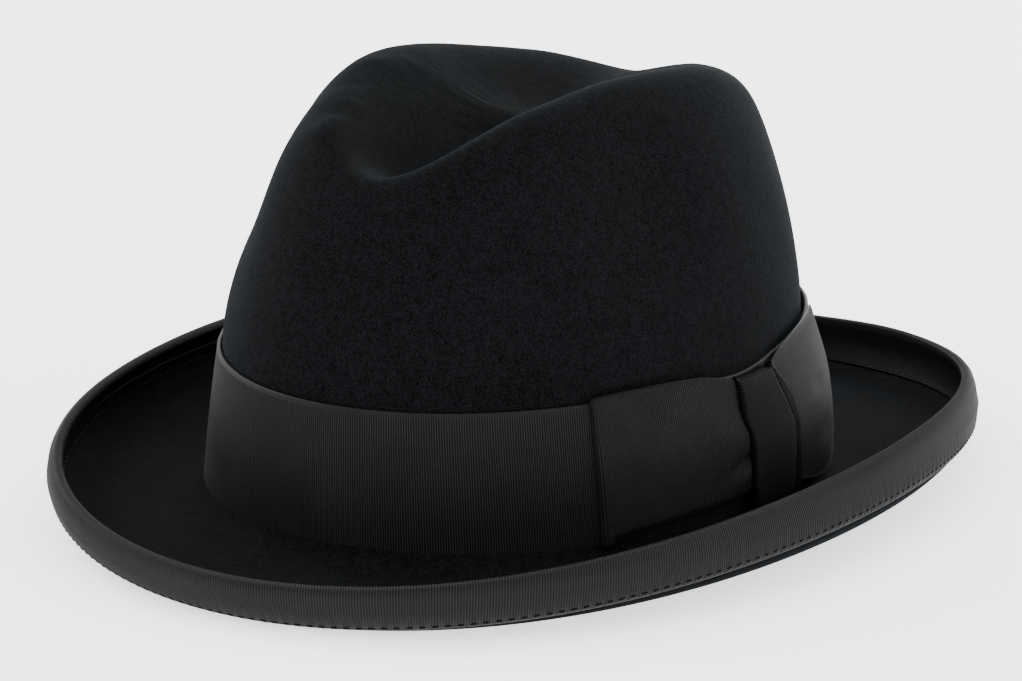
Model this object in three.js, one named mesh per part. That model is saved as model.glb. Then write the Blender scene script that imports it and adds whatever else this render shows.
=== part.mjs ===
// Homburg hat: a felt body with a crease along its crown and a rolled brim, a ribbon round the
// crown, a ribbon folded over the brim's edge, and a flat bow on the wearer's left.
// Millimetres, +Z up. The front points to -Y and the wearer's left to +X.
// The group's origin is under the middle of the hat, on the surface that it rests on.
import * as THREE from 'three';
import { mergeVertices } from 'three/addons/utils/BufferGeometryUtils.js';

// Felt
const feltWall = 2;
const crownLength = 207;
const crownWidth = 165;
const crownHeight = 127.7;
const headEdgeRound = 3;

// Crease along the top of the crown
const creaseWidth = 89;
const creaseDepth = 31;
const creaseOffset = -1.5;

// Pinch on each side of the crown's front
const pinchDepth = 7.8;

// Brim: the flat from the crown to the curl, the curl's radius, and the straight felt at its end
const brimFlat = 36;
const curlRadius = 10.6;
const brimLip = 1.8;
const restPress = 0.6;

// Ribbons
const ribbonThickness = 1;
const ribbonGap = 0.3;
const ribbonProud = 0.3;
const bandHeight = 43.3;
const bindingWidth = 11.4;
const bindingSink = 0.4;

// Bow
const wingLength = 68;
const wingLift = 2;
const knotWidth = 28;
const knotHeight = 6.5;
const bowForward = 7.5;
const bandDip = 1.8;

// Crown sections from the brim up: shares of crownHeight, crownWidth and crownLength, and the
// shift toward the back as a share of crownLength / 2
const crownSections = [
  { rise: 0, width: 1, length: 1, back: 0 },
  { rise: 0.18, width: 0.965, length: 1.005, back: 0 },
  { rise: 0.36, width: 0.92, length: 1, back: 0 },
  { rise: 0.54, width: 0.875, length: 0.965, back: 0 },
  { rise: 0.72, width: 0.78, length: 0.925, back: 0.004 },
  { rise: 0.86, width: 0.66, length: 0.835, back: 0.042 },
  { rise: 0.94, width: 0.49, length: 0.635, back: 0.078 },
  { rise: 0.98, width: 0.29, length: 0.365, back: 0.095 },
  { rise: 1, width: 0, length: 0, back: 0.1 },
];

// Crease: how it widens toward the back, the heights that it starts from and is in full at as shares
// of crownHeight, and as shares of crownLength / 2 where it starts at the front lip, the length over
// which it deepens, and where and over which length it gets shallower toward the back
const crease = {
  taper: 0.64, low: 0.6, high: 0.85, front: -0.94, ramp: 0.46, back: 0.1, ease: 0.58, backDepth: 0.49,
};

// Pinch: its place and extent as shares of crownWidth / 2 sideways and crownHeight upward, where it
// is in full as a share of crownLength / 2 forward, and how much of its depth goes sideways
const pinch = { out: 0.78, up: 0.745, wide: 0.21, tall: 0.18, front: 0.45, sideways: 0.7 };

// Brim at the front, the sides and the back: shares of brimFlat and curlRadius, the flat's slope
// upward and the direction of the curl's end, in degrees
const brimSections = {
  front: { flat: 1.06, radius: 1.17, slope: -4.7, turn: 80 },
  side: { flat: 0.82, radius: 0.83, slope: 9.4, turn: 135.5 },
  back: { flat: 1.29, radius: 1.17, slope: -3.4, turn: 80 },
};

// Wings of the bow from under the knot to the free end: the place along the wing as a share of
// wingLength, its lower and upper edge as shares of bandHeight, and its lift at the lower edge, in
// the middle and at the upper edge as shares of wingLift
const frontWing = [
  { along: 0.01, low: 0.28, high: 0.88, foot: 0.45, lift: 0.9, head: 0.3 },
  { along: 0.15, low: 0.25, high: 0.935, foot: 0.5, lift: 1, head: 0.3 },
  { along: 0.24, low: 0.24, high: 0.975, foot: 0.5, lift: 1.1, head: 0.35 },
  { along: 0.4, low: 0.23, high: 1.03, foot: 0.5, lift: 0.9, head: 0.35 },
  { along: 0.6, low: 0.215, high: 1.055, foot: 0.4, lift: 0.6, head: 0.3 },
  { along: 0.85, low: 0.18, high: 1.055, foot: 0.2, lift: 0.3, head: 0.2 },
  { along: 0.96, low: 0.145, high: 1.045, foot: 0.1, lift: 0.2, head: 0.1 },
  { along: 1, low: 0.085, high: 1.04, foot: 0.1, lift: 0.2, head: 0.1 },
];
const backWing = [
  { along: 0.01, low: 0.28, high: 0.88, foot: 0.45, lift: 0.9, head: 0.3 },
  { along: 0.15, low: 0.21, high: 0.94, foot: 0.6, lift: 1, head: 0.3 },
  { along: 0.24, low: 0.15, high: 0.99, foot: 0.8, lift: 1.4, head: 0.3 },
  { along: 0.4, low: 0.1, high: 1.03, foot: 1.1, lift: 1.8, head: 0.3 },
  { along: 0.6, low: 0.08, high: 1.04, foot: 1.3, lift: 1.9, head: 0.25 },
  { along: 0.85, low: 0.1, high: 1.02, foot: 1.2, lift: 1.6, head: 0.15 },
  { along: 1, low: 0.14, high: 0.97, foot: 1, lift: 1.1, head: 0.1 },
];

// Knot from its top to its foot: shares of bandHeight upward, of knotHeight off the band, and of
// knotWidth for its width and its shift toward the front
const knotPath = [
  { up: 0.985, off: 0, width: 0.78, shift: 0.2 },
  { up: 1.005, off: 0.35, width: 0.78, shift: 0.2 },
  { up: 0.99, off: 0.65, width: 0.8, shift: 0.19 },
  { up: 0.8, off: 0.89, width: 0.95, shift: 0.07 },
  { up: 0.52, off: 1, width: 1, shift: 0 },
  { up: 0.28, off: 0.95, width: 1, shift: 0 },
  { up: 0.12, off: 0.78, width: 0.95, shift: 0 },
  { up: 0.085, off: 0.5, width: 0.92, shift: 0 },
  { up: 0.09, off: 0, width: 0.9, shift: 0 },
];

// Place and half-width of the band's dip under the knot, as shares of crownLength / 2 from the side
const dipPlace = -0.13;
const dipWide = 0.18;

// Power of the way along the brim's flat by which the flat rises
const flatEase = 1.5;

// Steps of the surfaces
const aroundSteps = 60;
const topSteps = 13;
const flatSteps = 3;
const curlSteps = 6;
const bindingSteps = 3;
const foldSteps = 4;
const wingHighSteps = 4;
const knotWideSteps = 4;

// Steps of the search for a height, the step by which a slope is measured, and the distance at
// which two corners are one
const searchSteps = 30;
const slopeStep = 0.02;
const sameCorner = 1e-4;

const halfLength = crownLength / 2;
const halfWidth = crownWidth / 2;
const bandSeat = ribbonGap + ribbonThickness - ribbonProud;
const bandStep = 2 * feltWall;
const wingThickness = 2 * ribbonThickness;
const topPlace = crownSections.length - 1;

function smoothStep(x) {
  return THREE.MathUtils.smoothstep(x, 0, 1);
}

// Value of a crown column at a place counted in rows, smooth between the rows. Past the last row
// the crown comes down again on its other side, so the widths there are taken as negative.
function crownColumn(column, place) {
  const i = Math.min(Math.floor(place), topPlace - 1);
  const at = (row) => {
    if (row < 0) return 2 * crownSections[0][column] - crownSections[1][column];
    if (row <= topPlace) return crownSections[row][column];
    const mirrored = crownSections[2 * topPlace - row][column];
    return column === 'width' || column === 'length' ? -mirrored : mirrored;
  };
  const [before, from, to, after] = [at(i - 1), at(i), at(i + 1), at(i + 2)];
  const t = place - i;
  const bend = 2 * before - 5 * from + 4 * to - after;
  const twist = 3 * (from - to) + after - before;
  return from + 0.5 * t * (to - before + t * (bend + t * twist));
}

// Place in the rows where the crown reaches a height
function placeAtHeight(height) {
  let low = 0;
  let high = topPlace;
  for (let i = 0; i < searchSteps; i += 1) {
    const between = 0.5 * (low + high);
    if (crownHeight * crownColumn('rise', between) < height) {
      low = between;
    } else {
      high = between;
    }
  }
  return low;
}

// Height of the band's upper edge over the brim
function bandTop(angle) {
  const away = (angle - dipPlace) / dipWide;
  return ribbonGap + bandHeight - bandDip * Math.exp(-away * away);
}

// Direction out of the crown in plan
function outward(angle) {
  return new THREE.Vector3(Math.cos(angle) / halfWidth, Math.sin(angle) / halfLength, 0).normalize();
}

// Point of the crown's outline before the dents
function crownOutline(angle, place) {
  const x = halfWidth * crownColumn('width', place) * Math.cos(angle);
  const along = crownColumn('length', place) * Math.sin(angle) + crownColumn('back', place);
  return new THREE.Vector3(x, halfLength * along, crownHeight * crownColumn('rise', place));
}

// Point of the crown's outer face: the outline with the crease, the pinches and the seat of the band
function crownOuter(angle, place) {
  const p = crownOutline(angle, place);
  const rise = p.z / crownHeight;
  const along = p.y / halfLength;
  const across = Math.abs(p.x - creaseOffset) / (0.5 * creaseWidth * (1 + crease.taper * along));
  const hollow = 1 - smoothStep(across);
  const behindLip = smoothStep((along - crease.front) / crease.ramp);
  const easing = 1 - (1 - crease.backDepth) * smoothStep((along - crease.back) / crease.ease);
  const sink = smoothStep((rise - crease.low) / (crease.high - crease.low));
  p.z -= creaseDepth * behindLip * easing * hollow * sink;
  const forward = smoothStep(-along / pinch.front);
  for (const side of [-1, 1]) {
    const dx = (p.x / halfWidth - side * pinch.out) / pinch.wide;
    const dz = (p.z / crownHeight - pinch.up) / pinch.tall;
    const dent = pinchDepth * forward * Math.exp(-dx * dx - dz * dz);
    p.y += dent;
    p.x -= side * pinch.sideways * dent;
  }
  const seat = 1 - smoothStep((p.z - bandTop(angle)) / bandStep);
  return p.addScaledVector(outward(angle), -bandSeat * seat);
}

// Point of the crown's inner face, one wall inside the outer one
function crownInner(angle, place) {
  const here = crownOuter(angle, place);
  if (place > topPlace - slopeStep) return here.add(new THREE.Vector3(0, 0, -feltWall));
  const around = crownOuter(angle + slopeStep, place).sub(crownOuter(angle - slopeStep, place));
  const above = crownOuter(angle, place + slopeStep);
  const below = crownOuter(angle, Math.max(place - slopeStep, 0));
  const faceOut = around.cross(above.sub(below)).normalize();
  return here.addScaledVector(faceOut, -feltWall);
}

// Value of a brim column at an angle: the sides' value sideways, and it changes smoothly to the
// front's and the back's
function brimValue(column, angle) {
  const { front, side, back } = brimSections;
  const sideways = 0.5 + 0.5 * Math.cos(2 * angle);
  const mean = 0.5 * (front[column] + back[column]);
  const tilt = 0.5 * (back[column] - front[column]) * Math.sin(angle);
  return side[column] * sideways + mean * (1 - sideways) + tilt;
}

function brimShape(angle) {
  return {
    flat: brimFlat * brimValue('flat', angle),
    radius: curlRadius * brimValue('radius', angle),
    slope: THREE.MathUtils.degToRad(brimValue('slope', angle)),
    turn: THREE.MathUtils.degToRad(brimValue('turn', angle)),
  };
}

// Places on the brim's middle surface in the plane of its section: out is the distance from the
// crown's foot, up the height over it, and turn the direction that the felt runs in
function brimFlatPlace(shape, share) {
  const up = shape.flat * share ** flatEase * Math.sin(shape.slope) - 0.5 * feltWall;
  return { out: shape.flat * share * Math.cos(shape.slope), up, turn: shape.slope };
}

function brimCurlPlace(shape, turn) {
  const from = brimFlatPlace(shape, 1);
  const out = from.out + shape.radius * (Math.sin(turn) - Math.sin(shape.slope));
  return { out, up: from.up + shape.radius * (Math.cos(shape.slope) - Math.cos(turn)), turn };
}

// Place on the brim at a distance back from its edge, along the lip and then round the curl
function brimPlaceFromEdge(shape, back) {
  const turn = shape.turn - Math.max(back - brimLip, 0) / shape.radius;
  const place = brimCurlPlace(shape, turn);
  const lip = Math.max(brimLip - back, 0);
  return { out: place.out + lip * Math.cos(turn), up: place.up + lip * Math.sin(turn), turn };
}

// Point beside the brim's middle surface: a positive offset lies below the flat and outside the curl
function brimPoint(angle, place, offset) {
  const out = place.out + offset * Math.sin(place.turn);
  const foot = new THREE.Vector3(halfWidth * Math.cos(angle), halfLength * Math.sin(angle), 0);
  foot.addScaledVector(outward(angle), out);
  foot.z = place.up - offset * Math.cos(place.turn);
  return foot;
}

function brimUnderside(angle, turn) {
  return brimPoint(angle, brimCurlPlace(brimShape(angle), turn), 0.5 * feltWall).z;
}

// The surface that the hat rests on: the underside's lowest stretch at the front and the back is
// pressed flat against it
const frontFoot = brimUnderside(-Math.PI / 2, 0);
const backFoot = brimUnderside(Math.PI / 2, 0);
const restLevel = Math.max(frontFoot, backFoot) + restPress;

// A pair of points on the underside and the upper face of the brim, with the felt pressed up where
// it would go below the surface
function brimPair(angle, place, half) {
  const under = brimPoint(angle, place, half);
  const over = brimPoint(angle, place, -half);
  const pressed = Math.max(restLevel - under.z, 0);
  under.z += pressed;
  over.z += pressed;
  return { under, over };
}

// One section of the felt body, from the middle of the crown's inner face down, round the brim and
// up to the middle of the crown's outer face
function feltSection(angle) {
  const shape = brimShape(angle);
  const stepTop = placeAtHeight(bandTop(angle) + bandStep);
  const crownPlaces = [0, 0.5, 1].map((share) => placeAtHeight(share * bandTop(angle)));
  for (let i = 0; i <= topSteps; i += 1) {
    crownPlaces.push(stepTop + (topPlace - stepTop) * (i / topSteps));
  }

  const brimPlaces = [];
  for (let i = 1; i <= flatSteps; i += 1) {
    brimPlaces.push({ ...brimFlatPlace(shape, i / flatSteps), half: 0.5 * feltWall });
  }
  const bareTurn = shape.turn - (bindingWidth + feltWall - brimLip) / shape.radius;
  for (let i = 1; i <= curlSteps; i += 1) {
    const turn = shape.slope + (bareTurn - shape.slope) * (i / curlSteps);
    brimPlaces.push({ ...brimCurlPlace(shape, turn), half: 0.5 * feltWall });
  }
  for (let i = 0; i <= bindingSteps; i += 1) {
    const back = bindingWidth * (1 - i / bindingSteps) + (i === 0 ? ribbonGap : 0);
    brimPlaces.push({ ...brimPlaceFromEdge(shape, back), half: 0.5 * feltWall - bindingSink });
  }

  const pairs = brimPlaces.map((place) => brimPair(angle, place, place.half));
  const headEdge = [
    brimPoint(angle, { out: -bandSeat - feltWall, up: headEdgeRound - feltWall, turn: 0 }, 0),
    brimPoint(angle, { out: headEdgeRound - bandSeat - feltWall, up: -feltWall, turn: 0 }, 0),
  ];
  const inner = crownPlaces.slice(1).reverse().map((place) => crownInner(angle, place));
  const outer = crownPlaces.map((place) => crownOuter(angle, place));
  const under = pairs.map((pair) => pair.under);
  const over = pairs.map((pair) => pair.over).reverse();
  return [...inner, ...headEdge, ...under, ...over, ...outer];
}

// The ribbon over the brim's edge: down one face from its stitched edge, round and back up
function bindingFace(angle, shape, offset) {
  const outside = [];
  for (let i = 0; i <= bindingSteps; i += 1) {
    const place = brimPlaceFromEdge(shape, bindingWidth * (1 - i / bindingSteps));
    outside.push({ place, offset });
  }
  const inside = outside.map((entry) => ({ place: entry.place, offset: -offset })).reverse();
  const edge = brimPlaceFromEdge(shape, 0);
  const fold = [];
  for (let i = 1; i < foldSteps; i += 1) {
    const around = Math.PI * (i / foldSteps);
    const past = offset * Math.sin(around);
    const place = {
      out: edge.out + past * Math.cos(edge.turn),
      up: edge.up + past * Math.sin(edge.turn),
      turn: edge.turn,
    };
    fold.push({ place, offset: offset * Math.cos(around) });
  }
  return [...outside, ...fold, ...inside].map((entry) => brimPoint(angle, entry.place, entry.offset));
}

function bindingSection(angle) {
  const shape = brimShape(angle);
  const inner = 0.5 * feltWall - bindingSink + ribbonGap;
  const outerFace = bindingFace(angle, shape, inner + ribbonThickness);
  const innerFace = bindingFace(angle, shape, inner);
  return [...outerFace, ...innerFace.reverse()];
}

// Point at a height over the brim and a distance off the band's outer face
function overBand(angle, height, off) {
  const p = crownOutline(angle, placeAtHeight(height));
  return p.addScaledVector(outward(angle), ribbonProud + off);
}

function bandSection(angle) {
  const heights = [ribbonGap, 0.5 * bandTop(angle), bandTop(angle)];
  const outerFace = heights.map((height) => overBand(angle, height, 0));
  const innerFace = heights.map((height) => overBand(angle, height, -ribbonThickness));
  return [...outerFace, ...innerFace.reverse()];
}

// Wings of the bow, each a loop of ribbon pressed flat: side is -1 for the front one and 1 for the back
function wingSection(row, side) {
  const angle = (side * row.along * wingLength - bowForward) / halfLength;
  const outerFace = [];
  const innerFace = [];
  for (let i = 0; i <= wingHighSteps; i += 1) {
    const share = i / wingHighSteps;
    const height = ribbonGap + bandHeight * (row.low + (row.high - row.low) * share);
    const straight = row.foot + (row.head - row.foot) * share;
    const belly = (row.lift - 0.5 * (row.foot + row.head)) * Math.sin(Math.PI * share);
    const off = ribbonGap + wingLift * (straight + belly);
    innerFace.push(overBand(angle, height, off));
    outerFace.push(overBand(angle, height, off + wingThickness));
  }
  return [...outerFace, ...innerFace.reverse()];
}

// The knot: a strip that comes off the band over the wings' upper edges and back under them. The
// strip's two faces run along the path, and its two folds turn up at the top and down at the foot.
function knotSection(share) {
  const lastFold = knotPath.length - 2;
  const folds = knotPath.map((row, i) => {
    if (i < 2) return -1;
    return i < lastFold ? 0 : 1;
  });
  const face = (inset) => knotPath.map((row, i) => {
    const height = ribbonGap + bandHeight * row.up + inset * folds[i];
    const along = knotWidth * (row.width * (share - 0.5) - row.shift);
    const angle = (along - bowForward) / halfLength;
    return overBand(angle, height, Math.max(knotHeight * row.off - inset, ribbonGap));
  });
  return [...face(ribbonThickness), ...face(0).reverse()];
}

// A closed body through sections that are closed outlines with as many points each. It comes round
// to its first section, or its end sections are filled in.
function loft(sections, comesRound) {
  const corners = [];
  const apart = (a, b) => a.distanceTo(b) > sameCorner;
  const triangle = (a, b, c) => {
    if (apart(a, b) && apart(b, c) && apart(c, a)) corners.push(a, b, c);
  };
  const quad = (a, b, c, d) => {
    triangle(a, b, c);
    triangle(a, c, d);
  };
  const count = sections[0].length;
  const spans = comesRound ? sections.length : sections.length - 1;
  for (let i = 0; i < spans; i += 1) {
    const here = sections[i];
    const next = sections[(i + 1) % sections.length];
    for (let j = 0; j < count; j += 1) {
      const k = (j + 1) % count;
      quad(here[j], next[j], next[k], here[k]);
    }
  }
  if (!comesRound) {
    const [first, final] = [sections[0], sections[sections.length - 1]];
    for (let j = 0; j < count / 2 - 1; j += 1) {
      const across = count - 1 - j;
      quad(first[j], first[j + 1], first[across - 1], first[across]);
      quad(final[j + 1], final[j], final[across], final[across - 1]);
    }
  }
  const geometry = mergeVertices(new THREE.BufferGeometry().setFromPoints(corners), sameCorner);
  geometry.computeVertexNormals();
  return geometry;
}

function ringOf(section) {
  const sections = [];
  for (let i = 0; i < aroundSteps; i += 1) {
    sections.push(section(2 * Math.PI * (i / aroundSteps - 0.5)));
  }
  return loft(sections, true);
}

function wingOf(rows, side) {
  const sections = rows.map((row) => wingSection(row, side));
  return loft(side < 0 ? sections.reverse() : sections, false);
}

function knotBody() {
  const sections = [];
  for (let i = 0; i <= knotWideSteps; i += 1) {
    sections.push(knotSection(i / knotWideSteps));
  }
  return loft(sections, false);
}

const felt = { color: 0x0b0c0e, roughness: 0.95, metalness: 0 };
const ribbon = { color: 0x16161a, roughness: 0.7, metalness: 0 };

const hat = new THREE.Group();

function addPiece(name, geometry, finish) {
  const mesh = new THREE.Mesh(geometry, new THREE.MeshStandardMaterial(finish));
  mesh.name = name;
  hat.add(mesh);
}

addPiece('felt_body', ringOf(feltSection), felt);
addPiece('hat_band', ringOf(bandSection), ribbon);
addPiece('brim_binding', ringOf(bindingSection), ribbon);
addPiece('bow_front_wing', wingOf(frontWing, -1), ribbon);
addPiece('bow_back_wing', wingOf(backWing, 1), ribbon);
addPiece('bow_knot', knotBody(), ribbon);

// The origin goes under the middle of the hat, on the surface that it rests on
const box = new THREE.Box3().setFromObject(hat);
const centre = box.getCenter(new THREE.Vector3());
hat.children.forEach((piece) => piece.position.set(-centre.x, -centre.y, -box.min.z));

export default hat;
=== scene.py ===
import bisect
import math

import bmesh
import bpy
from mathutils import Matrix, Vector


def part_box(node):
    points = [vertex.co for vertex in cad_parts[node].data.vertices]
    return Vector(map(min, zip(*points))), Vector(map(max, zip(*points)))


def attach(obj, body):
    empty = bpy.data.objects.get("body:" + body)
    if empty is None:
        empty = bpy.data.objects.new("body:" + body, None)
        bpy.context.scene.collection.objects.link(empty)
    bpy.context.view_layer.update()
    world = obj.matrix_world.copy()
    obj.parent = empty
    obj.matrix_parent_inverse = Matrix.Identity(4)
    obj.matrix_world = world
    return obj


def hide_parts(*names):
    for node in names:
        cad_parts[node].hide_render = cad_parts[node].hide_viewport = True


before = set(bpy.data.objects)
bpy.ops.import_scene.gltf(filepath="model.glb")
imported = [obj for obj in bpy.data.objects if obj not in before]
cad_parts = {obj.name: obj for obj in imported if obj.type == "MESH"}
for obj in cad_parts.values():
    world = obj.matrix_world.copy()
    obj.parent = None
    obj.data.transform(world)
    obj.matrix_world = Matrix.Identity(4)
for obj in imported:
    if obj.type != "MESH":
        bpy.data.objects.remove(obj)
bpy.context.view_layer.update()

bandLow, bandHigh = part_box("hat_band")

# the crown's oval and the rolled brim that the ribbons lie on, in metres, degrees and shares of them
crown = {
    "width": 0.165,
    "length": 0.207,
    "height": 0.1277,
    "rise": 0.18,  # the widths and lengths are at steps of this share of the height
    "widths": (1.0, 0.965, 0.92, 0.875, 0.78),
    "lengths": (1.0, 1.005, 1.0, 0.965, 0.925),
}
brim = {
    "flat": 0.036,
    "radius": 0.0106,
    "lip": 0.0018,
    "wall": 0.002,
    "front": {"flat": 1.06, "radius": 1.17, "slope": -4.7, "turn": 80.0},
    "side": {"flat": 0.82, "radius": 0.83, "slope": 9.4, "turn": 135.5},
    "back": {"flat": 1.29, "radius": 1.17, "slope": -3.4, "turn": 80.0},
    "lift": 0.0025,  # how much higher the brim is rolled up behind the bow
    "liftPlace": 80.0,  # degrees from the wearer's left toward the back
    "liftWide": 25.0,
    "liftStart": 1.2,  # share of the crown's size
    "liftFrom": 0.012,  # from this height up to the next the lift grows
    "liftTo": 0.018,
}
ribbon = {
    "gap": 0.0003,
    "proud": 0.0003,
    "height": 0.0433,
    "dip": 0.0018,  # the knot pulls the band's top edge down, at a place and over a width in radians
    "dipPlace": -0.13,
    "dipWide": 0.18,
    "flare": 0.0018,  # the band's top edge stands off the crown behind the bow
    "flarePlace": 0.82,
    "flareWide": 0.28,
    "flareGrowth": 3,
    "pitch": 0.0007,  # from one rib to the next
    "ribCells": 4,  # faces across each rib
    "ribSharp": 2,  # the higher, the narrower the painted highlight on the tops of the ribs
    "plainTone": 0.4,  # painted tone of a selvedge without ribs, between the painted shade of the valleys and the painted highlight of the tops
    "cloth": 0.0005,
}

halfWidth = crown["width"] / 2
halfLength = crown["length"] / 2
shift = Vector((0, (bandLow.y + bandHigh.y) / 2, bandLow.z - ribbon["gap"]))


def smooth(x):
    x = min(max(x, 0.0), 1.0)
    return x * x * (3 - 2 * x)


def blend(a, b, t):
    return a + (b - a) * t


def bell(x):
    return math.exp(-x * x)


def roundOff(distance, radius):
    # how far a round edge has dropped at a distance from it
    left = 1 - min(max(distance / radius, 0.0), 1.0)
    return radius * (1 - math.sqrt(1 - left * left))


def spline(values, place):
    # smooth curve through values at whole places
    last = len(values) - 1
    i = min(max(int(place), 0), last - 1)
    p1, p2 = values[i], values[i + 1]
    p0 = values[i - 1] if i > 0 else 2 * p1 - p2
    p3 = values[i + 2] if i + 2 <= last else 2 * p2 - p1
    t = place - i
    bend = 2 * p0 - 5 * p1 + 4 * p2 - p3
    return p1 + 0.5 * t * (p2 - p0 + t * (bend + t * (3 * (p1 - p2) + p3 - p0)))


def rowPlace(rows, name, value):
    # place in the rows where a rising column reaches a value
    column = [row[name] for row in rows]
    i = min(max(bisect.bisect_right(column, value) - 1, 0), len(column) - 2)
    return i + min(max((value - column[i]) / (column[i + 1] - column[i]), 0.0), 1.0)


def outward(angle):
    return Vector((math.cos(angle) / halfWidth, math.sin(angle) / halfLength, 0)).normalized()


def overBand(angle, height, off):
    # point at a height over the brim and a distance off the band's outer face
    place = height / crown["height"] / crown["rise"]
    x = halfWidth * spline(crown["widths"], place) * math.cos(angle)
    y = halfLength * spline(crown["lengths"], place) * math.sin(angle)
    return shift + Vector((x, y, height)) + outward(angle) * (ribbon["proud"] + off)


def bandTop(angle):
    # height of the band's top edge over its bottom edge
    turned = (angle + math.pi) % (2 * math.pi) - math.pi
    return ribbon["height"] - ribbon["dip"] * bell((turned - ribbon["dipPlace"]) / ribbon["dipWide"])


def flareAt(angle, share):
    # how far the ribbon stands off the crown at a share of its height
    place = (angle - ribbon["flarePlace"]) / ribbon["flareWide"]
    return ribbon["flare"] * bell(place) * share ** ribbon["flareGrowth"]


def brimValue(name, angle):
    front, side, back = brim["front"][name], brim["side"][name], brim["back"][name]
    sideways = 0.5 + 0.5 * math.cos(2 * angle)
    tilt = 0.5 * (back - front) * math.sin(angle)
    return side * sideways + 0.5 * (front + back) * (1 - sideways) + tilt


def brimPoint(angle, back, offset, past=0.0):
    # point at a distance back from the brim's edge, beside the felt's middle: plus is outside the roll
    slope, turn = math.radians(brimValue("slope", angle)), math.radians(brimValue("turn", angle))
    flat, radius = brim["flat"] * brimValue("flat", angle), brim["radius"] * brimValue("radius", angle)
    here = turn - max(back - brim["lip"], 0) / radius
    beyond = max(brim["lip"] - back, 0) + past
    out = flat * math.cos(slope) + radius * (math.sin(here) - math.sin(slope))
    up = flat * math.sin(slope) - brim["wall"] / 2 + radius * (math.cos(slope) - math.cos(here))
    out += beyond * math.cos(here) + offset * math.sin(here)
    up += beyond * math.sin(here) - offset * math.cos(here)
    foot = Vector((halfWidth * math.cos(angle), halfLength * math.sin(angle), up))
    return farLift(shift + foot + outward(angle) * out)


def farLift(point):
    # the brim behind the bow is rolled up a little higher
    x, y = (point.x - shift.x) / halfWidth, (point.y - shift.y) / halfLength
    if math.hypot(x, y) < brim["liftStart"]:
        return point
    rise = smooth((point.z - brim["liftFrom"]) / (brim["liftTo"] - brim["liftFrom"]))
    turned = (math.degrees(math.atan2(y, x)) - brim["liftPlace"]) / brim["liftWide"]
    return point + Vector((0, 0, brim["lift"] * rise * bell(turned)))


def evenAngles(count, pointAt):
    # angles all round at equal distances along a line, and the line's length
    steps = 2880
    points = [pointAt(2 * math.pi * i / steps) for i in range(steps + 1)]
    run = [0.0]
    for a, b in zip(points, points[1:]):
        run.append(run[-1] + (b - a).length)
    angles = []
    at = 0
    for i in range(count):
        goal = run[-1] * i / count
        while run[at + 1] < goal:
            at += 1
        angles.append(2 * math.pi * (at + (goal - run[at]) / (run[at + 1] - run[at])) / steps)
    return angles, run[-1]


def ribWave(place):
    return 0.5 + 0.5 * math.cos(2 * math.pi * place)


# painted shade in the valleys between the ribs and painted highlight on their tops
def paintedRibTone(wave, shows):
    return blend(ribbon["plainTone"], wave ** ribbon["ribSharp"], shows)


def meshPiece(name, bm):
    for face in bm.faces:
        face.smooth = True
    mesh = bpy.data.meshes.new(name)
    bm.to_mesh(mesh)
    bm.free()
    piece = bpy.data.objects.new(name, mesh)
    bpy.context.scene.collection.objects.link(piece)
    return piece


def gridPiece(name, along, around, place, closed=False):
    # a grid whose corners are put in their places, with a map of the ribbon and the painted shade and
    # highlight of its ribs
    bm = bmesh.new()
    bmesh.ops.create_grid(bm, x_segments=along, y_segments=around, size=0.5)
    ribbonMap = bm.loops.layers.uv.new("ribbonMap")
    ribShadeAndHighlight = bm.verts.layers.float.new("ribShadeAndHighlight")
    where = {}
    for v in bm.verts:
        i, j = round((v.co.x + 0.5) * along), round((v.co.y + 0.5) * around)
        v.co, where[v.index], v[ribShadeAndHighlight] = place(i, j)
    for face in bm.faces:
        for loop in face.loops:
            loop[ribbonMap].uv = where[loop.vert.index]
    if closed:
        bmesh.ops.remove_doubles(bm, verts=bm.verts, dist=1e-6)
    bmesh.ops.recalc_face_normals(bm, faces=bm.faces)
    return meshPiece(name, bm)


def thicken(piece):
    cloth = piece.modifiers.new("cloth", "SOLIDIFY")
    cloth.thickness = ribbon["cloth"]
    cloth.offset = -1


def finishPiece(piece, material, node=None):
    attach(piece, "root")
    if node:
        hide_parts(node)
    piece.data.materials.clear()
    piece.data.materials.append(material)
    return piece


class Field:
    # a socket that can be written in sums
    def __init__(self, shader, socket):
        self.shader = shader
        self.socket = socket

    def __add__(self, other):
        return self.shader.math("ADD", self, other)

    def __radd__(self, other):
        return self.shader.math("ADD", other, self)

    def __mul__(self, other):
        return self.shader.math("MULTIPLY", self, other)

    def __rmul__(self, other):
        return self.shader.math("MULTIPLY", other, self)


class Shader:
    def __init__(self, name, **constants):
        self.material = bpy.data.materials.new(name)
        self.material.use_nodes = True
        self.tree = self.material.node_tree
        self.surface = self.tree.nodes["Principled BSDF"]
        for key, value in constants.items():
            self.surface.inputs[key.replace("_", " ")].default_value = value

    def node(self, kind, settings=None, inputs=None, output=0):
        made = self.tree.nodes.new("ShaderNode" + kind)
        for key, value in (settings or {}).items():
            if key == "stops":
                for element, (position, level) in zip(made.color_ramp.elements, value):
                    element.position = position
                    element.color = (level, level, level, 1)
            else:
                setattr(made, key, value)
        for key, value in (inputs or {}).items():
            self.put(made.inputs[key], value)
        return Field(self, made.outputs[output])

    def put(self, socket, value):
        if isinstance(value, Field):
            self.tree.links.new(value.socket, socket)
        else:
            socket.default_value = value

    def math(self, operation, *values):
        return self.node("Math", {"operation": operation}, dict(enumerate(values)))

    def mix(self, factor, a, b):
        return self.node("Mix", {"data_type": "RGBA"}, {0: factor, 6: a, 7: b}, 2)

    def ramp(self, value, *stops):
        return self.node("ValToRGB", {"stops": stops}, {0: value})

    def noise(self, place, look):
        scale, detail, rough = (look[key] for key in ("scale", "detail", "rough"))
        values = {"Vector": place, "Scale": scale, "Detail": detail, "Roughness": rough}
        return self.node("TexNoise", None, values)

    def bump(self, height, look, normal=None):
        values = {"Height": height, "Distance": look["distance"], "Strength": look["strength"]}
        if normal is not None:
            values["Normal"] = normal
        return self.node("Bump", None, values)

    def feed(self, name, value):
        self.put(self.surface.inputs[name], value)


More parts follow.
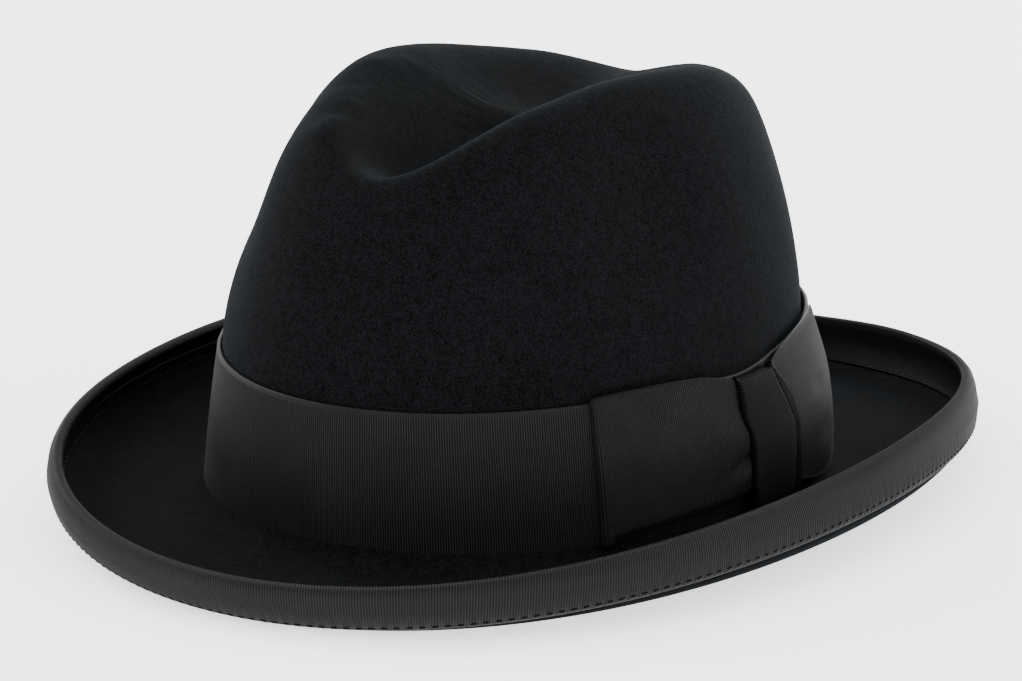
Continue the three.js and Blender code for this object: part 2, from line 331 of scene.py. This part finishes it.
view = {
    "azimuth": 26.445,
    "elevation": 14.829,
    "roll": 0.662,
    "distance": 1.588994,
    "lens": 197.727,
    "sensor": 36.0,
    "target": (-0.000983, -0.004811, 0.042045),
}


def makeCamera():
    a, e, r = (math.radians(view[key]) for key in ("azimuth", "elevation", "roll"))
    back = Vector((math.sin(a) * math.cos(e), -math.cos(a) * math.cos(e), math.sin(e)))
    level = Vector((math.cos(a), math.sin(a), 0))
    upright = back.cross(level)
    right = math.cos(r) * level + math.sin(r) * upright
    up = math.cos(r) * upright - math.sin(r) * level
    data = bpy.data.cameras.new("camera")
    data.lens = view["lens"]
    data.sensor_width = view["sensor"]
    data.sensor_fit = "HORIZONTAL"
    data.clip_start = 0.05
    data.clip_end = 50
    camera = bpy.data.objects.new("camera", data)
    turned = Matrix((right, up, back)).transposed().to_4x4()
    camera.matrix_world = Matrix.Translation(Vector(view["target"]) + back * view["distance"]) @ turned
    bpy.context.scene.collection.objects.link(camera)
    bpy.context.scene.camera = camera


makeCamera()
print("camera made")

feltLook = {
    "deep": (0.0008, 0.0009, 0.0011, 1),
    "raised": (0.0063, 0.0069, 0.0079, 1),
    "sheen": {"Sheen_Weight": 0.012, "Sheen_Roughness": 0.3, "Sheen_Tint": (0.45, 0.8, 1, 1)},
    "gloss": 0.015,
    # grain of the fur from fine to broad, and its share in the tone
    "nap": {"scale": 1900, "detail": 3, "rough": 0.65, "share": 0.7},
    "mottle": {"scale": 380, "detail": 3, "rough": 0.6, "share": 0.2},
    "cloud": {"scale": 26, "detail": 2, "rough": 0.5, "share": 0.1},
    # stops: level of the grain, and the tone or roughness there
    "toneStops": ((0.38, 0), (0.63, 1)),
    "roughStops": ((0.3, 0.82), (0.7, 0.95)),
    "mottleBump": {"distance": 0.0003, "strength": 0.4},
    "napBump": {"distance": 0.00015, "strength": 0.7},
}


def makeFelt():
    look = feltLook
    s = Shader("furFelt", Specular_IOR_Level=look["gloss"], **look["sheen"])
    place = s.node("TexCoord", output=3)
    nap, mottle, cloud = (s.noise(place, look[key]) for key in ("nap", "mottle", "cloud"))
    ofNap, ofMottle, ofCloud = (look[key]["share"] for key in ("nap", "mottle", "cloud"))
    grain = ofNap * nap + ofMottle * mottle + ofCloud * cloud
    s.feed("Base Color", s.mix(s.ramp(grain, *look["toneStops"]), look["deep"], look["raised"]))
    s.feed("Roughness", s.ramp(cloud, *look["roughStops"]))
    s.feed("Normal", s.bump(nap, look["napBump"], s.bump(mottle, look["mottleBump"])))
    return s.material


grosgrainLook = {
    # painted shade for the rib valleys and painted highlight for the rib tops
    "shadedValley": (0.0006, 0.0006, 0.0007, 1),
    "top": (0.021, 0.021, 0.0215, 1),
    "sheenSpread": 0.3,
    "warp": {"scale": 3600, "detail": 2, "rough": 0.5},
    "cloud": {"scale": 60, "detail": 2, "rough": 0.5},
    "warpStops": ((0.3, 0.55), (0.7, 1)),
    "cloudStops": ((0.3, 0.75), (0.7, 1)),
    "rough": 0.42,
    "roughCloud": 0.15,
    "warpBump": {"distance": 0.00005, "strength": 0.7},
}
# painted light and shade: each piece gets a lighter or darker copy of the same ribbon for how the light
# falls on it; and how strong its sheen and its gloss
ribbonLooks = {
    "bandRibbon": {"paintedLightLevel": 1.4, "sheen": 0.035, "gloss": 0.06},
    "shadedInnerRibbon": {"paintedLightLevel": 0.5, "sheen": 0.012, "gloss": 0.015},
    "bindingRibbon": {"paintedLightLevel": 0.85, "sheen": 0.045, "gloss": 0.1},
    "frontRibbon": {"paintedLightLevel": 0.9, "sheen": 0.025, "gloss": 0.03},
    "backRibbon": {"paintedLightLevel": 1.2, "sheen": 0.075, "gloss": 0.09},
    "knotRibbon": {"paintedLightLevel": 0.75, "sheen": 0.008, "gloss": 0.012},
    "stitchThread": {"paintedLightLevel": 1.0, "sheen": 0.03, "gloss": 0.05},
}


def makeGrosgrain(name, paintedLightLevel, sheen, gloss):
    look = grosgrainLook
    s = Shader(name, Sheen_Weight=sheen, Sheen_Roughness=look["sheenSpread"], Specular_IOR_Level=gloss)
    place = s.node("TexCoord", output=3)
    # the rib mask paints shade in the valleys and highlight on the tops
    top = s.node("Attribute", {"attribute_name": "ribShadeAndHighlight"}, output=2)
    warp, cloud = s.noise(place, look["warp"]), s.noise(place, look["cloud"])
    # each piece's level paints the light or shade that falls on it
    tone = top * s.ramp(warp, *look["warpStops"]) * s.ramp(cloud, *look["cloudStops"]) * paintedLightLevel
    s.feed("Base Color", s.mix(tone, look["shadedValley"], look["top"]))
    s.feed("Roughness", look["rough"] + look["roughCloud"] * cloud)
    s.feed("Normal", s.bump(warp, look["warpBump"]))
    return s.material


felt = makeFelt()
ribbons = {name: makeGrosgrain(name, **look) for name, look in ribbonLooks.items()}
print("materials made")

feltBody = {
    "weld": 0.00001,
    "levels": 2,
    "crownFrom": 0.085,  # over this height the crown is evened out
    # the crease's flank, the front of the left ridge, and the whole top: middle, reach, rounds, and
    # the factors of a round, of which an inward and an outward one keep the size
    "evened": (
        {"middle": (-0.012, 0.007), "reach": 0.018, "rounds": 9, "factors": (0.5,)},
        {"middle": (-0.028, -0.047), "reach": 0.022, "rounds": 2, "factors": (0.5,)},
        {"middle": (0, 0.0063), "reach": 0.06, "rounds": 14, "factors": (0.5, -0.52)},
    ),
    "lipDip": 0.0024,  # dip in the crease's back lip
    "lipAt": (0.003, 0.066),
    "lipWide": (0.015, 0.018),
}


def makeFeltBody():
    look = feltBody
    bm = bmesh.new()
    bm.from_mesh(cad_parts["felt_body"].data)
    bmesh.ops.remove_doubles(bm, verts=bm.verts, dist=look["weld"])
    bmesh.ops.join_triangles(
        bm, faces=bm.faces, angle_face_threshold=math.pi, angle_shape_threshold=math.pi,
    )
    for row in look["evened"]:
        middle = Vector(row["middle"])
        near = [
            v for v in bm.verts
            if v.co.z > look["crownFrom"] and (v.co.xy - middle).length < row["reach"]
        ]
        for factor in row["factors"] * row["rounds"]:
            bmesh.ops.smooth_vert(
                bm, verts=near, factor=factor, use_axis_x=True, use_axis_y=True, use_axis_z=True,
            )
    for v in bm.verts:
        if v.co.z > look["crownFrom"]:
            across, along = ((a - b) / c for a, b, c in zip(v.co.xy, look["lipAt"], look["lipWide"]))
            v.co.z -= look["lipDip"] * bell(across) * bell(along)
        else:
            v.co = farLift(v.co)
    piece = meshPiece("crownAndBrim", bm)
    rounding = piece.modifiers.new("rounding", "SUBSURF")
    rounding.levels = rounding.render_levels = look["levels"]
    return finishPiece(piece, felt, "felt_body")


makeFeltBody()
print("felt body made")

band = {
    "ribDepth": 0.0003,
    # from inside the foot over the outer face to inside the top: share of the height, distance from
    # there, distance off the outer face, and how much of the ribs shows
    "section": (
        (0, 0.0002, -0.0009, 0), (0, 0, -0.0005, 0), (0, 0.0001, -0.0001, 0.1),
        (0, 0.0006, 0.00008, 0.3), (0, 0.0011, 0, 0.3), (0, 0.0015, 0, 1),
        (0.2, 0, 0, 1), (0.4, 0, 0, 1), (0.6, 0, 0, 1), (0.8, 0, 0, 1),
        (1, -0.0016, 0, 1), (1, -0.0012, 0, 0.2), (1, -0.0009, 0, 0.3), (1, -0.0005, 0.00014, 0.4),
        (1, -0.0001, 0, 0.3), (1, 0, -0.0005, 0), (1, -0.0002, -0.0009, 0),
        (0.95, 0, -0.001, 0), (0.05, 0, -0.001, 0),
    ),
}


def bandMiddle(angle):
    return overBand(angle, ribbon["height"] / 2, 0)


def makeBand():
    rows = band["section"]
    girth = evenAngles(1, bandMiddle)[1]
    cells = round(girth / ribbon["pitch"]) * ribbon["ribCells"]
    angles = evenAngles(cells, bandMiddle)[0]

    def place(i, j):
        share, inset, off, shows = rows[j % len(rows)]
        angle = angles[i % cells]
        height = ribbon["gap"] + share * bandTop(angle) + inset
        wave = ribWave(i / ribbon["ribCells"])
        off += band["ribDepth"] * shows * (wave - 0.5) + flareAt(angle, share)
        return overBand(angle, height, off), (girth * i / cells, height), paintedRibTone(wave, shows)

    piece = gridPiece("ribbonBand", cells, len(rows), place, closed=True)
    return finishPiece(piece, ribbons["bandRibbon"], "hat_band")


makeBand()
print("hat band made")

binding = {
    "width": 0.0114,
    "pitch": 0.00076,
    "ribDepth": 0.00024,
    "inner": 0.0009,
    "outer": 0.0019,
    "innerOuter": 0.0016,  # outer face of the half inside the roll
    # the stitched edge, with the stitches on its fourth row: distance past the edge, distance under the
    # outer face, and how much of the ribs shows
    "hem": (
        (0.0002, 0.0008, 0), (0, 0.0003, 0.3), (-0.0005, 0.0001, 0.6), (-0.0015, 0.0001, 0.8),
        (-0.0024, 0, 1),
    ),
    "plain": (0.5, 0.2),  # rows between the hem and the fold, as shares of the width
    "outerFold": (0, 50, 90),  # degrees round the brim's edge
    "innerFold": (130, 180),
    "liningShare": 0.8,
    "innerRow": 9.5,  # rows after this one are inside the roll
    "innerRibs": 0.3,  # the half inside the roll is worn smooth
    # painted shade: the half inside the roll is darker
    "innerPaintedShade": 0.8,
    "stitchBack": 0.0099,  # from the brim's edge
    "stitchPitch": 0.0034,
    "stitchLength": 0.0022,
    "stitchThick": 0.00042,
    "stitchHigh": 0.00025,
    "innerStitch": 0.6,  # size of an inner stitch beside an outer one
    "stitchRound": (6, 4),
    "holeDeep": 0.0003,
    "holeWide": 0.0006,
    "holeAcross": 0.0009,
}


def bindingSection():
    # rows from the outer stitched edge round the brim's edge to the inner one and back beside the
    # felt: distance back from the edge, offset, distance past the edge, how much of the ribs shows
    width, inner, outer, inward = (binding[key] for key in ("width", "inner", "outer", "innerOuter"))
    outside = [(width + past, outer - under, 0, shows) for past, under, shows in binding["hem"]]
    outside += [(width * share, outer, 0, 1) for share in binding["plain"]]
    fold = []
    for key, radius in (("outerFold", outer), ("innerFold", inward)):
        for t in map(math.radians, binding[key]):
            fold.append((0.0, radius * math.cos(t), outer * math.sin(t), 1))
    inside = [(back, outer - inward - offset, 0, shows) for back, offset, past, shows in outside[:0:-1]]
    reach = width * binding["liningShare"]
    lining = ((reach, -inner, 0, 0), (0.0, 0, inner, 0), (reach, inner, 0, 0))
    return (*outside, *fold, *inside, *lining)


def bindingEdge(angle):
    return brimPoint(angle, 0.0, 0.0)


def makeBinding():
    rows = bindingSection()
    girth = evenAngles(1, bindingEdge)[1]
    cells = round(girth / binding["pitch"]) * ribbon["ribCells"]
    angles = evenAngles(cells, bindingEdge)[0]
    holes = round(girth / binding["stitchPitch"])

    def place(i, j):
        back, offset, past, shows = rows[j % len(rows)]
        wave = ribWave(i / ribbon["ribCells"])
        side = math.copysign(1, offset)
        lift = binding["ribDepth"] * shows * (wave - 0.5)
        if shows and offset > 0:
            fromHole = ((i / cells * holes + 0.5) % 1 - 0.5) * girth / holes
            fromLine = (back - binding["stitchBack"]) / binding["holeAcross"]
            lift -= binding["holeDeep"] * bell(fromHole / binding["holeWide"]) * bell(fromLine)
        if past > 0:
            scale = 1 + lift / binding["outer"]
            offset, past = offset * scale, past * scale
        else:
            offset += side * lift * (1 if side > 0 else binding["innerRibs"])
        where = girth * i / cells, binding["width"] * j / len(rows)
        # painted shade on the half inside the roll
        tone = paintedRibTone(wave, shows) * (1 if side > 0 else binding["innerPaintedShade"])
        return brimPoint(angles[i % cells], back, offset, past), where, tone

    piece = gridPiece("edgeBinding", cells, len(rows), place, closed=True)
    stitches = makeStitches(holes)
    finishPiece(piece, ribbons["bindingRibbon"], "brim_binding")
    # a darker copy of the ribbon paints shade on the half inside the roll
    piece.data.materials.append(ribbons["shadedInnerRibbon"])
    ribbonMap = piece.data.uv_layers["ribbonMap"].uv
    inner = binding["width"] * binding["innerRow"] / len(rows)
    for face in piece.data.polygons:
        face.material_index = int(min(ribbonMap[loop].vector.y for loop in face.loop_indices) > inner)


def makeStitches(count):
    # one row outside the roll and one inside it, each stitch between two holes
    back, length, thick, high = (
        binding[key] for key in ("stitchBack", "stitchLength", "stitchThick", "stitchHigh")
    )
    across, around = binding["stitchRound"]
    ahead, beside = 0.002, 0.001  # small steps that find the stitch's direction and the face's
    bm = bmesh.new()
    angles = evenAngles(count * 2, bindingEdge)[0][1::2]
    for side, scale, face in (
        (1, 1, binding["outer"]), (-1, binding["innerStitch"], binding["innerOuter"]),
    ):
        size = (scale * length / 2, scale * thick, scale * high, 1)
        offset = side * face
        for angle in angles:
            middle = brimPoint(angle, back, offset)
            run = (brimPoint(angle + ahead, back, offset) - middle).normalized()
            off = brimPoint(angle, back, offset + side * beside) - middle
            off = (off - off.dot(run) * run).normalized()
            turned = Matrix((run, off.cross(run), off)).transposed().to_4x4()
            matrix = Matrix.Translation(middle) @ turned @ Matrix.Diagonal(size)
            bmesh.ops.create_uvsphere(bm, u_segments=across, v_segments=around, radius=1, matrix=matrix)
    piece = meshPiece("bindingStitches", bm)
    return finishPiece(piece, ribbons["stitchThread"])


makeBinding()
print("binding made")

bow = {
    "wingLength": 0.068,
    "wingLift": 0.002,
    "foldRadius": 0.001,
    "frontWidth": 0.037,  # of the ribbon of each loop
    "backWidth": 0.0425,
    "innerShort": 0.006,  # the loop's inner layer is lower by this share of the band's height
    "selvedge": 0.04,  # share of the height without full ribs at each edge
    "topThin": 0.4,  # share of the loop's thickness left at its top edge
    "thinFrom": 0.5,  # share of the height where it starts to thin
    "forward": 0.0075,
    "ribDepth": 0.00028,
    "high": 30,
}
# share of the wing's length; its low and high edge as shares of the band's height; how far its foot,
# middle and head stand off the band, as shares of wingLift
frontWing = (
    {"along": 0.01, "low": 0.28, "high": 0.88, "foot": 0.45, "lift": 0.9, "head": 0.3},
    {"along": 0.15, "low": 0.25, "high": 0.935, "foot": 0.5, "lift": 1, "head": 0.3},
    {"along": 0.24, "low": 0.24, "high": 0.975, "foot": 0.5, "lift": 1.1, "head": 0.35},
    {"along": 0.4, "low": 0.23, "high": 1.03, "foot": 0.5, "lift": 0.9, "head": 0.35},
    {"along": 0.6, "low": 0.215, "high": 1.055, "foot": 0.4, "lift": 0.6, "head": 0.3},
    {"along": 0.85, "low": 0.18, "high": 1.055, "foot": 0.2, "lift": 0.3, "head": 0.2},
    {"along": 0.96, "low": 0.145, "high": 1.045, "foot": 0.1, "lift": 0.2, "head": 0.1},
    {"along": 1, "low": 0.085, "high": 1.04, "foot": 0.1, "lift": 0.2, "head": 0.1},
)
backWing = (
    {"along": 0.01, "low": 0.28, "high": 0.88, "foot": 0.45, "lift": 0.9, "head": 0.3},
    {"along": 0.15, "low": 0.21, "high": 0.965, "foot": 0.6, "lift": 1, "head": 0.3},
    {"along": 0.24, "low": 0.15, "high": 1.015, "foot": 0.8, "lift": 1.4, "head": 0.3},
    {"along": 0.4, "low": 0.1, "high": 1.045, "foot": 1.1, "lift": 1.8, "head": 0.3},
    {"along": 0.6, "low": 0.08, "high": 1.055, "foot": 1.3, "lift": 1.9, "head": 0.25},
    {"along": 0.85, "low": 0.1, "high": 1.045, "foot": 1.2, "lift": 1.6, "head": 0.1},
    {"along": 0.95, "low": 0.12, "high": 1.015, "foot": 1.1, "lift": 1.3, "head": 0},
    {"along": 1, "low": 0.15, "high": 0.94, "foot": 1, "lift": 1.0, "head": 0},
)


def makeWing(name, node, rows, side, dents, material):
    # a loop of ribbon: out on the outer layer, round the free end and back on the inner layer
    radius = bow["foldRadius"]
    straight = bow["wingLength"] - radius
    path = 2 * straight + math.pi * radius
    cells = round(path / ribbon["pitch"]) * ribbon["ribCells"]

    def place(i, j):
        run = path * i / cells
        if run < straight:
            along, layer = run, 1.0
        elif run < straight + math.pi * radius:
            turn = (run - straight) / radius
            along, layer = straight + radius * math.sin(turn), math.cos(turn)
        else:
            along, layer = path - run, -1.0
        spot = rowPlace(rows, "along", along / bow["wingLength"])
        low, high, foot, lift, head = (
            spline([row[key] for row in rows], spot) for key in ("low", "high", "foot", "lift", "head")
        )
        v = j / bow["high"]
        inset = bow["innerShort"] * (1 - layer)
        height = ribbon["gap"] + ribbon["height"] * blend(low + inset, high - inset, v)
        belly = (lift - 0.5 * (foot + head)) * math.sin(math.pi * v)
        angle = (side * along - bow["forward"]) / halfLength
        pressed = blend(1, bow["topThin"], smooth((v - bow["thinFrom"]) / (1 - bow["thinFrom"])))
        off = ribbon["gap"] + bow["wingLift"] * (blend(foot, head, v) + belly) + flareAt(angle, v)
        off += radius * pressed * (1 + layer)
        if layer > 0:
            off += dents(along, v) * layer
        wave = ribWave(i / ribbon["ribCells"])
        shows = smooth(min(v, 1 - v) / bow["selvedge"])
        off += bow["ribDepth"] * shows * (wave - 0.5) * (1 if layer >= 0 else -1)
        return overBand(angle, height, off), (run, height), paintedRibTone(wave, shows)

    piece = gridPiece(name, cells, bow["high"], place)
    thicken(piece)
    return finishPiece(piece, material, node)


# the tuck that runs down the front wing from the knot, with the cloth full below it
tuck = {
    "from": 0.0105,  # along the wing
    "to": 0.0228,
    "start": 0.36,  # shares of the wing's height
    "end": 0.2,
    "past": 0.004,
    "fade": 0.009,
    "deep": 0.0008,
    "deepTall": 0.035,
    "bulge": 0.0008,
    "bulgeUnder": 0.12,
    "bulgeTall": 0.08,
    # waves that fade along the wing
    "gather": 0.00035,
    "gatherTo": 0.03,
    "gatherFade": 0.02,
    "gatherTurns": 14,
    "gatherShift": 0.6,
}


def frontDents(along, v):
    line = blend(tuck["start"], tuck["end"], (along - tuck["from"]) / (tuck["to"] - tuck["from"]))
    near = smooth((tuck["to"] + tuck["past"] - along) / tuck["fade"])
    fold = tuck["bulge"] * bell((v - line + tuck["bulgeUnder"]) / tuck["bulgeTall"])
    fold -= tuck["deep"] * bell((v - line) / tuck["deepTall"])
    waves = math.sin(tuck["gatherTurns"] * v + tuck["gatherShift"])
    gather = tuck["gather"] * smooth((tuck["gatherTo"] - along) / tuck["gatherFade"]) * waves
    return near * fold + gather


backDentRows = (
    {"along": 0.034, "up": 0.62, "long": 0.006, "tall": 0.05, "deep": 0.0007},
    {"along": 0.040, "up": 0.26, "long": 0.008, "tall": 0.06, "deep": 0.0009},
    {"along": 0.052, "up": 0.45, "long": 0.012, "tall": 0.30, "deep": 0.0005},
)


def backDents(along, v):
    total = 0
    for row in backDentRows:
        near = bell((along - row["along"]) / row["long"])
        total -= row["deep"] * near * bell((v - row["up"]) / row["tall"])
    return total


makeWing(
    "bowFrontWing", "bow_front_wing", frontWing, -1, frontDents,
    ribbons["frontRibbon"],
)
makeWing(
    "bowBackWing", "bow_back_wing", backWing, 1, backDents,
    ribbons["backRibbon"],
)
print("wings made")

knot = {
    "width": 0.028,
    "cut": 0.0305,  # width of its ribbon, with the roll's lap
    "height": 0.0065,
    "stripCells": 26,
    "rollCells": 16,
    "edge": 0.0012,
    "step": 0.0010,
    "rollLower": 0.0004,
    "rollEdge": 0.0022,
    "rollStepShare": 0.8,  # of the step on the roll's side of the groove
    "rollRound": 1.2,  # most of the roll's half width that its edge rounds off
    "slant": 0.10,  # run of the ribs down the strip for each length across it
    "rollSlant": 0.75,
    "ribDepth": 0.00031,
    # painted shade along the rounded edges and beside the groove, and narrow painted highlights on the
    # rib tops
    "edgeShadeTone": 0.4,
    "ribSharp": 3,
    "pitch": 0.00078,
    "ends": 0.002,  # at each end of the strip the ribs and the round edges die out
    "rest": 0.0002,  # least distance off the band
    "steps": 480,
    # from the top to the foot: share of the band's height, of the knot's height off the band, and of
    # its width for its left edge, the groove beside the roll, and its right edge
    "path": (
        {"up": 0.925, "off": 0, "left": -0.49, "groove": 0.150, "right": 0.191},
        {"up": 0.95, "off": 0.35, "left": -0.49, "groove": 0.155, "right": 0.201},
        {"up": 0.938, "off": 0.65, "left": -0.5, "groove": 0.160, "right": 0.221},
        {"up": 0.85, "off": 0.83, "left": -0.53, "groove": 0.180, "right": 0.354},
        {"up": 0.72, "off": 0.92, "left": -0.545, "groove": 0.273, "right": 0.490},
        {"up": 0.58, "off": 0.985, "left": -0.485, "groove": 0.348, "right": 0.536},
        {"up": 0.45, "off": 1, "left": -0.5, "groove": 0.330, "right": 0.532},
        {"up": 0.30, "off": 0.96, "left": -0.51, "groove": 0.285, "right": 0.514},
        {"up": 0.17, "off": 0.86, "left": -0.475, "groove": 0.260, "right": 0.504},
        {"up": 0.10, "off": 0.68, "left": -0.46, "groove": 0.250, "right": 0.496},
        {"up": 0.085, "off": 0.4, "left": -0.455, "groove": 0.250, "right": 0.491},
        {"up": 0.09, "off": 0, "left": -0.45, "groove": 0.250, "right": 0.486},
    ),
}


def makeKnot():
    rows = knot["path"]
    columns = {key: [row[key] for row in rows] for key in rows[0]}
    last = len(rows) - 1
    steps = knot["steps"]
    line = []
    for i in range(steps + 1):
        up, off = (spline(columns[key], last * i / steps) for key in ("up", "off"))
        line.append(Vector((ribbon["gap"] + ribbon["height"] * up, knot["height"] * off)))
    run = [0.0]
    for a, b in zip(line, line[1:]):
        run.append(run[-1] + (b - a).length)
    cells = round(run[-1] / knot["pitch"]) * ribbon["ribCells"]
    strip, roll = knot["stripCells"], knot["rollCells"]

    def place(i, j):
        goal = run[-1] * i / cells
        k = min(max(bisect.bisect_right(run, goal) - 1, 0), steps - 1)
        t = (goal - run[k]) / (run[k + 1] - run[k])
        height, off = line[k].lerp(line[k + 1], t)
        fall = (line[k + 1] - line[k]).normalized()
        spot = last * (k + t) / steps
        left, groove, right = (
            knot["width"] * spline(columns[key], spot) for key in ("left", "groove", "right")
        )
        if j <= strip:
            across = blend(left, groove, 0.5 - 0.5 * math.cos(math.pi * j / strip))
            sink = roundOff(across - left, knot["edge"]) + roundOff(groove - across, knot["step"])
            slant = knot["slant"] * (across - left)
            rim = min(across - left, groove - across)
        else:
            across = blend(groove, right, 0.5 - 0.5 * math.cos(math.pi * (j - strip) / roll))
            half = 0.5 * (right - groove)
            step = min(knot["step"], half) * knot["rollStepShare"]
            sink = knot["rollLower"] + roundOff(across - groove, step)
            sink += roundOff(right - across, min(knot["rollEdge"], half * knot["rollRound"]))
            slant = knot["slant"] * (groove - left) - knot["rollSlant"] * (across - groove)
            rim = min(across - groove, right - across)
        # painted shade near the edges and the groove, painted highlight on the rib tops
        edge = blend(knot["edgeShadeTone"], 1, smooth(rim / knot["edge"]))
        wave = ribWave((goal + slant) / knot["pitch"])
        ends = smooth(goal / knot["ends"]) * smooth((run[-1] - goal) / knot["ends"])
        sink = (sink + knot["ribDepth"] * (0.5 - wave)) * ends
        height += fall.y * sink
        off = max(off + fall.x * sink, knot["rest"])
        angle = (across - bow["forward"]) / halfLength
        return overBand(angle, height, off), (across, goal), edge * wave ** knot["ribSharp"]

    piece = gridPiece("bowKnot", cells, strip + roll, place)
    thicken(piece)
    return finishPiece(piece, ribbons["knotRibbon"], "bow_knot")


makeKnot()
print("knot made")

studio = {
    "floor": 6.0,
    "floorTone": 0.86,
    "floorGlow": 1.5,
    "surround": 2.2,
    # place, aimed at, size in metres and power in watts
    "lamps": {
        "softTop": ((-0.1, 0.3, 2.0), (0, 0, 0), 2.0, 8),
        "softBack": ((-0.2, 1.9, 0.55), (0, 0, 0.05), 1.6, 24),
        "softRight": ((1.4, 1.4, 0.4), (0, 0, 0.05), 1.3, 26),
        "softLeft": ((-1.6, 0.2, 1.0), (0, 0, 0.03), 1.3, 28),
    },
}


def makeStudio():
    bm = bmesh.new()
    bmesh.ops.create_grid(bm, x_segments=1, y_segments=1, size=studio["floor"])
    floor = meshPiece("floor", bm)
    tone = studio["floorTone"]
    paper = Shader("floorPaper", Roughness=0.9, Emission_Strength=studio["floorGlow"])
    paper.feed("Base Color", (tone, tone, tone, 1))
    paper.feed("Emission Color", (1, 1, 1, 1))
    floor.data.materials.append(paper.material)

    world = bpy.data.worlds.new("studio")
    world.use_nodes = True
    world.node_tree.nodes["Background"].inputs["Color"].default_value = (1, 1, 1, 1)
    world.node_tree.nodes["Background"].inputs["Strength"].default_value = studio["surround"]
    bpy.context.scene.world = world

    for name, (place, target, size, power) in studio["lamps"].items():
        data = bpy.data.lights.new(name, "AREA")
        data.size = size
        data.energy = power
        lamp = bpy.data.objects.new(name, data)
        lamp.location = place
        lamp.rotation_euler = (Vector(target) - Vector(place)).to_track_quat("-Z", "Y").to_euler()
        bpy.context.scene.collection.objects.link(lamp)


makeStudio()
print("studio made")
